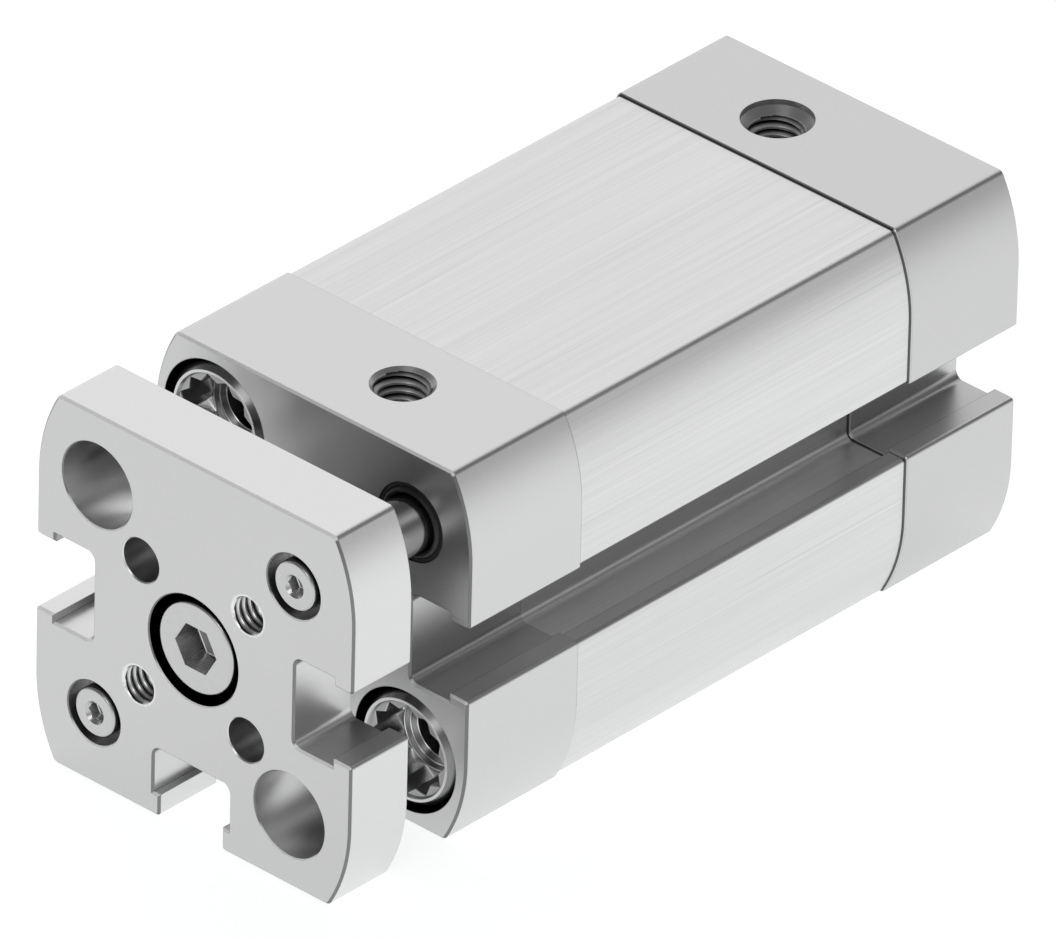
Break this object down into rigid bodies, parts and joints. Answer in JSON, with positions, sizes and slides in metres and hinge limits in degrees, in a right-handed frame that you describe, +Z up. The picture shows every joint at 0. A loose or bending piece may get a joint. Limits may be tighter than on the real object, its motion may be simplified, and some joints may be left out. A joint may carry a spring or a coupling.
{
  "type": "compact pneumatic cylinder",
  "caption": "Square double-acting compact air cylinder with a guided yoke plate, sensor slots and small threaded ports.",
  "frame": {"origin": "on the ground under the middle of the cylinder, piston drawn in", "axes": "+Y along the cylinder from the yoke plate to the end cap, +Z up to the ports, +X to the right seen from the plate"},
  "size_m": [0.0356, 0.0808, 0.0355],
  "materials": {
    "barrel_aluminium": "brushed along the cylinder, clear anodised",
    "cap_aluminium": "smooth satin, anodised",
    "plate_aluminium": "smooth satin, anodised",
    "piston_aluminium": "turned",
    "screw_steel": "turned and plated",
    "rod_steel": "ground",
    "seal_rubber": "matt black",
    "bumper_rubber": "matt",
    "bush_metal": "sintered",
    "magnet_compound": "pressed",
    "wear_ring_plastic": "smooth"
  },
  "bodies": {
    "housing": {"barrel": "barrel_aluminium", "bearing_cap": "cap_aluminium", "end_cap": "cap_aluminium", "bearing_cap_seal": "seal_rubber", "end_cap_seal": "seal_rubber", "rod_bush": "bush_metal", "rod_seal": "seal_rubber", "guide_bushes": "bush_metal", "guide_wipers": "seal_rubber", "front_collar_screws": "screw_steel", "rear_collar_screws": "screw_steel", "front_bumper": "bumper_rubber", "rear_bumper": "bumper_rubber"},
    "rod": {"piston_rod": "rod_steel", "piston_front": "piston_aluminium", "piston_rear": "piston_aluminium", "piston_magnet": "magnet_compound", "piston_wear_ring": "wear_ring_plastic", "front_piston_seal": "seal_rubber", "rear_piston_seal": "seal_rubber", "piston_nut": "screw_steel", "yoke_plate": "plate_aluminium", "yoke_screw": "screw_steel", "upper_guide_rod": "rod_steel", "lower_guide_rod": "rod_steel", "guide_rod_screws": "screw_steel"}
  },
  "joints": [
    {"name": "rod_slide", "type": "slide", "parent": "housing", "child": "rod", "axis": [0, -1, 0], "range_m": [0, 0.03]}
  ]
}
